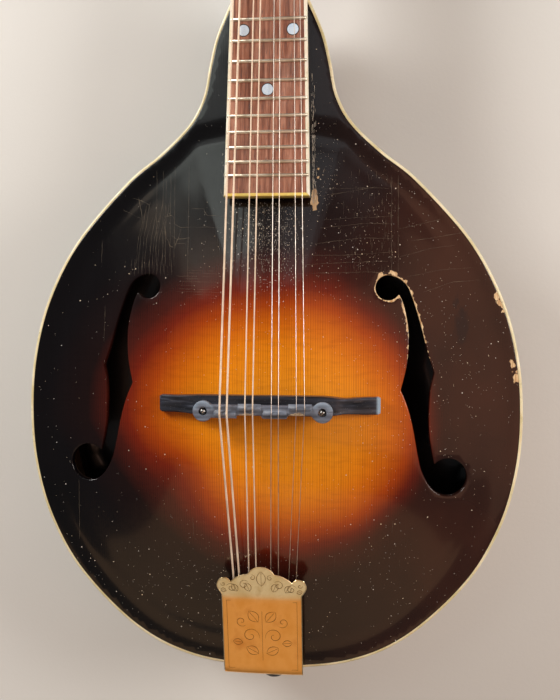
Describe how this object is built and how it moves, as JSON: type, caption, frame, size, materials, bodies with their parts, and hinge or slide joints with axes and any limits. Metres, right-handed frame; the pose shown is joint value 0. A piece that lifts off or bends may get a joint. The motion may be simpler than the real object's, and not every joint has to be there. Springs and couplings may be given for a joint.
{
  "type": "mandolin",
  "caption": "Arch-top mandolin with pear-shaped sunburst body, two f-holes, adjustable bridge and crowned tailpiece cover, lying on its back.",
  "frame": {"origin": "centre of the bottom of the bounding box, in the plane that the crown of the back and the tip of the headstock touch", "axes": "+Y from the tail towards the headstock, +X towards the treble side, +Z out of the soundboard"},
  "size_m": [0.2504, 0.6418, 0.0886],
  "materials": {
    "sunburst_top": "gloss lacquer over spruce, amber centre shading to near black",
    "stained_maple": "gloss dark brown stained maple",
    "bare_wood": "bare spruce and willow inside the body",
    "cream_celluloid": "aged cream celluloid",
    "rosewood": "oiled rosewood",
    "black_lacquer": "black gloss lacquer on wood",
    "bone": "polished bone",
    "ebony": "polished ebony with a grey-blue sheen",
    "steel": "plain steel",
    "nickel": "worn nickel plate",
    "gold_plate": "worn gold plate, engraved",
    "cream_button": "cream plastic buttons on steel shafts",
    "bronze_wire": "bronze-wound strings",
    "steel_wire": "plain steel strings"
  },
  "bodies": {
    "body": {"soundboard": "sunburst_top", "back_plate": "stained_maple", "side_bass": "stained_maple", "top_lining_bass": "bare_wood", "back_lining_bass": "bare_wood", "side_treble": "stained_maple", "top_lining_treble": "bare_wood", "back_lining_treble": "bare_wood", "tail_block": "bare_wood", "head_block": "bare_wood", "top_binding": "cream_celluloid", "back_binding": "cream_celluloid", "tone_bar_bass": "bare_wood", "tone_bar_treble": "bare_wood", "fingerboard": "rosewood", "fingerboard_binding": "cream_celluloid", "nut": "bone", "extension_riser": "black_lacquer", "neck": "stained_maple", "headstock_overlay": "black_lacquer", "truss_rod": "steel", "truss_rod_cover": "black_lacquer", "tuner_plate_bass": "nickel", "tuner_plate_treble": "nickel", "bridge_base": "ebony", "bridge_post_bass": "steel", "bridge_post_treble": "steel", "tailpiece_base": "gold_plate", "tailpiece_screw_1": "gold_plate", "tailpiece_screw_2": "gold_plate", "tailpiece_screw_3": "gold_plate", "end_pin": "ebony", "string_1": "bronze_wire", "string_2": "bronze_wire", "string_3": "bronze_wire", "string_4": "bronze_wire", "string_5": "steel_wire", "string_6": "steel_wire", "string_7": "steel_wire", "string_8": "steel_wire"},
    "saddle": {"bridge_saddle": "ebony"},
    "wheel_bass": {"thumbwheel_bass": "nickel"},
    "wheel_treble": {"thumbwheel_treble": "nickel"},
    "cover": {"tailpiece_cover": "gold_plate"},
    "button_1": {"tuner_button_1": "cream_button"},
    "post_1": {"tuner_post_1": "nickel"},
    "button_2": {"tuner_button_2": "cream_button"},
    "post_2": {"tuner_post_2": "nickel"},
    "button_3": {"tuner_button_3": "cream_button"},
    "post_3": {"tuner_post_3": "nickel"},
    "button_4": {"tuner_button_4": "cream_button"},
    "post_4": {"tuner_post_4": "nickel"},
    "button_5": {"tuner_button_5": "cream_button"},
    "post_5": {"tuner_post_5": "nickel"},
    "button_6": {"tuner_button_6": "cream_button"},
    "post_6": {"tuner_post_6": "nickel"},
    "button_7": {"tuner_button_7": "cream_button"},
    "post_7": {"tuner_post_7": "nickel"},
    "button_8": {"tuner_button_8": "cream_button"},
    "post_8": {"tuner_post_8": "nickel"}
  },
  "joints": [
    {"name": "saddle_lift", "type": "slide", "parent": "body", "child": "saddle", "axis": [0, 0, 1], "range_m": [-0.0008, 0.0024], "deforming": ["string_1", "string_2", "string_3", "string_4", "string_5", "string_6", "string_7", "string_8"]},
    {"name": "wheel_bass_turn", "type": "hinge", "parent": "saddle", "child": "wheel_bass", "pos_m": [-0.0293, -0.17008, 0.0818], "axis": [0, 0, 1], "range_deg": [-360, 1080]},
    {"name": "wheel_treble_turn", "type": "hinge", "parent": "saddle", "child": "wheel_treble", "pos_m": [0.028, -0.17008, 0.0818], "axis": [0, 0, 1], "range_deg": [-360, 1080]},
    {"name": "cover_slide", "type": "slide", "parent": "body", "child": "cover", "axis": [0, -0.981, -0.1942], "range_m": [0, 0.06]},
    {"name": "button_1_turn", "type": "hinge", "parent": "body", "child": "button_1", "pos_m": [0, 0.20787, 0.02599], "axis": [1, 0, 0], "continuous": true},
    {"name": "post_1_turn", "type": "hinge", "parent": "body", "child": "post_1", "pos_m": [-0.019, 0.22066, 0.04143], "axis": [0, 0.2672, 0.9636], "continuous": true},
    {"name": "button_2_turn", "type": "hinge", "parent": "body", "child": "button_2", "pos_m": [0, 0.2308, 0.01963], "axis": [1, 0, 0], "continuous": true},
    {"name": "post_2_turn", "type": "hinge", "parent": "body", "child": "post_2", "pos_m": [-0.019, 0.24359, 0.03507], "axis": [0, 0.2672, 0.9636], "continuous": true},
    {"name": "button_3_turn", "type": "hinge", "parent": "body", "child": "button_3", "pos_m": [0, 0.25374, 0.01327], "axis": [1, 0, 0], "continuous": true},
    {"name": "post_3_turn", "type": "hinge", "parent": "body", "child": "post_3", "pos_m": [-0.019, 0.26653, 0.02871], "axis": [0, 0.2672, 0.9636], "continuous": true},
    {"name": "button_4_turn", "type": "hinge", "parent": "body", "child": "button_4", "pos_m": [0, 0.27667, 0.0069], "axis": [1, 0, 0], "continuous": true},
    {"name": "post_4_turn", "type": "hinge", "parent": "body", "child": "post_4", "pos_m": [-0.019, 0.28946, 0.02235], "axis": [0, 0.2672, 0.9636], "continuous": true},
    {"name": "button_5_turn", "type": "hinge", "parent": "body", "child": "button_5", "pos_m": [0, 0.27667, 0.0069], "axis": [1, 0, 0], "continuous": true},
    {"name": "post_5_turn", "type": "hinge", "parent": "body", "child": "post_5", "pos_m": [0.019, 0.28946, 0.02235], "axis": [0, 0.2672, 0.9636], "continuous": true},
    {"name": "button_6_turn", "type": "hinge", "parent": "body", "child": "button_6", "pos_m": [0, 0.25374, 0.01327], "axis": [1, 0, 0], "continuous": true},
    {"name": "post_6_turn", "type": "hinge", "parent": "body", "child": "post_6", "pos_m": [0.019, 0.26653, 0.02871], "axis": [0, 0.2672, 0.9636], "continuous": true},
    {"name": "button_7_turn", "type": "hinge", "parent": "body", "child": "button_7", "pos_m": [0, 0.2308, 0.01963], "axis": [1, 0, 0], "continuous": true},
    {"name": "post_7_turn", "type": "hinge", "parent": "body", "child": "post_7", "pos_m": [0.019, 0.24359, 0.03507], "axis": [0, 0.2672, 0.9636], "continuous": true},
    {"name": "button_8_turn", "type": "hinge", "parent": "body", "child": "button_8", "pos_m": [0, 0.20787, 0.02599], "axis": [1, 0, 0], "continuous": true},
    {"name": "post_8_turn", "type": "hinge", "parent": "body", "child": "post_8", "pos_m": [0.019, 0.22066, 0.04143], "axis": [0, 0.2672, 0.9636], "continuous": true}
  ],
  "couplings": [
    {"joint": "wheel_bass_turn", "follows": "saddle_lift", "rad_per_m": 7854},
    {"joint": "wheel_treble_turn", "follows": "saddle_lift", "rad_per_m": 7854},
    {"joint": "post_1_turn", "follows": "button_1_turn", "ratio": -0.071429},
    {"joint": "post_2_turn", "follows": "button_2_turn", "ratio": -0.071429},
    {"joint": "post_3_turn", "follows": "button_3_turn", "ratio": -0.071429},
    {"joint": "post_4_turn", "follows": "button_4_turn", "ratio": -0.071429},
    {"joint": "post_5_turn", "follows": "button_5_turn", "ratio": -0.071429},
    {"joint": "post_6_turn", "follows": "button_6_turn", "ratio": -0.071429},
    {"joint": "post_7_turn", "follows": "button_7_turn", "ratio": -0.071429},
    {"joint": "post_8_turn", "follows": "button_8_turn", "ratio": -0.071429}
  ]
}
